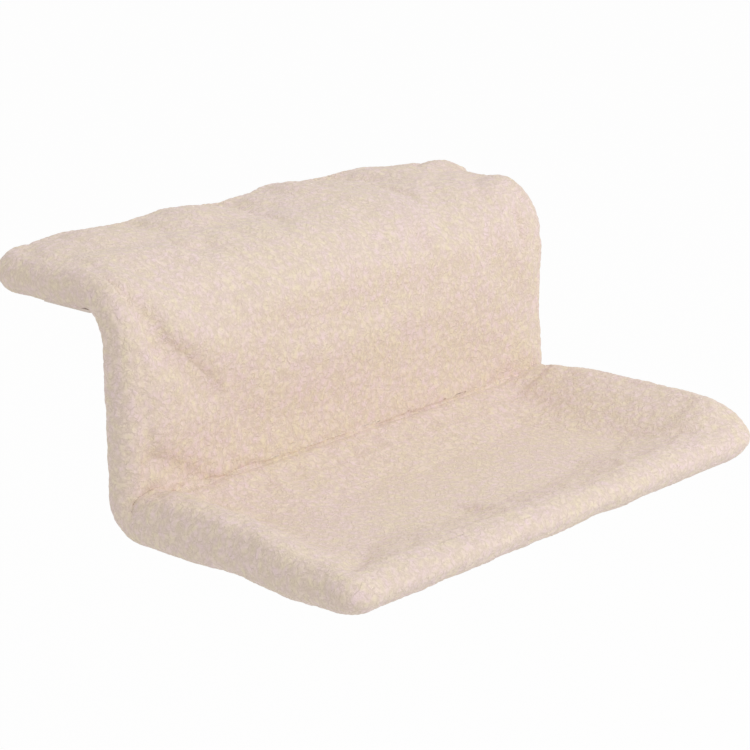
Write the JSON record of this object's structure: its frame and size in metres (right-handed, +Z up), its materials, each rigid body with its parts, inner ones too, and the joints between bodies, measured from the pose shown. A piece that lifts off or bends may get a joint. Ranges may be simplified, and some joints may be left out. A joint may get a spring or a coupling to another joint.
{
  "type": "radiator cat hammock",
  "caption": "Padded fleece hammock bed that hangs on a radiator: a flap over its top, a back panel and a bed with raised sides, on a bent tube frame with a sliding hook",
  "frame": {"origin": "middle of the radiator's top front edge, level with the underside of the grip strips and with the faces of the bumpers", "axes": "+X along the radiator and the hammock, +Y from the room to the wall, +Z up"},
  "size_m": [0.46, 0.354, 0.1979],
  "materials": {
    "frame_steel": "white powder coat on steel tube and rod",
    "zinc_steel": "zinc plated steel",
    "collar_plastic": "moulded light grey plastic, fine grain",
    "knob_plastic": "black moulded knob on a steel shank",
    "dark_rubber": "soft matt rubber and foam",
    "pale_rubber": "cream anti-slip rubber, matt",
    "fleece": "warm cream curly fleece, short pile",
    "lining": "plain woven beige cotton",
    "wadding": "white polyester wadding",
    "closure": "woven hook and loop tape"
  },
  "bodies": {
    "frame": {"side_tube_left": "frame_steel", "side_tube_right": "frame_steel", "front_tube": "frame_steel", "upper_crossbar": "frame_steel", "lower_crossbar": "frame_steel", "crossbar_inserts": "zinc_steel", "crossbar_screws": "zinc_steel", "front_joint_screws": "zinc_steel", "clamp_collar_left": "collar_plastic", "clamp_collar_right": "collar_plastic", "clamp_nuts": "zinc_steel", "bumper_left": "dark_rubber", "bumper_right": "dark_rubber", "bumper_screws": "zinc_steel", "grip_strip_left": "pale_rubber", "grip_strip_right": "pale_rubber", "flap_fleece": "fleece", "flap_lining": "lining", "back_fleece": "fleece", "back_lining": "lining", "bed_fleece": "fleece", "bolster_filling_left": "wadding", "bolster_filling_right": "wadding", "bed_wadding": "wadding", "bed_lining": "lining", "hook_strip": "closure", "loop_strip": "closure"},
    "hook": {"hook_tube": "frame_steel", "hook_lip": "frame_steel", "lip_sleeve": "dark_rubber"},
    "left_screw": {"thumb_screw_left": "knob_plastic"},
    "right_screw": {"thumb_screw_right": "knob_plastic"}
  },
  "joints": [
    {"name": "hook_slide", "type": "slide", "parent": "frame", "child": "hook", "axis": [0, 1, 0], "range_m": [0, 0.04], "deforming": ["flap_fleece", "flap_lining"]},
    {"name": "left_screw_turn", "type": "hinge", "parent": "frame", "child": "left_screw", "pos_m": [-0.1967, 0.066, 0.0153], "axis": [1, 0, 0], "continuous": true},
    {"name": "right_screw_turn", "type": "hinge", "parent": "frame", "child": "right_screw", "pos_m": [0.1967, 0.066, 0.0153], "axis": [-1, 0, 0], "continuous": true}
  ]
}
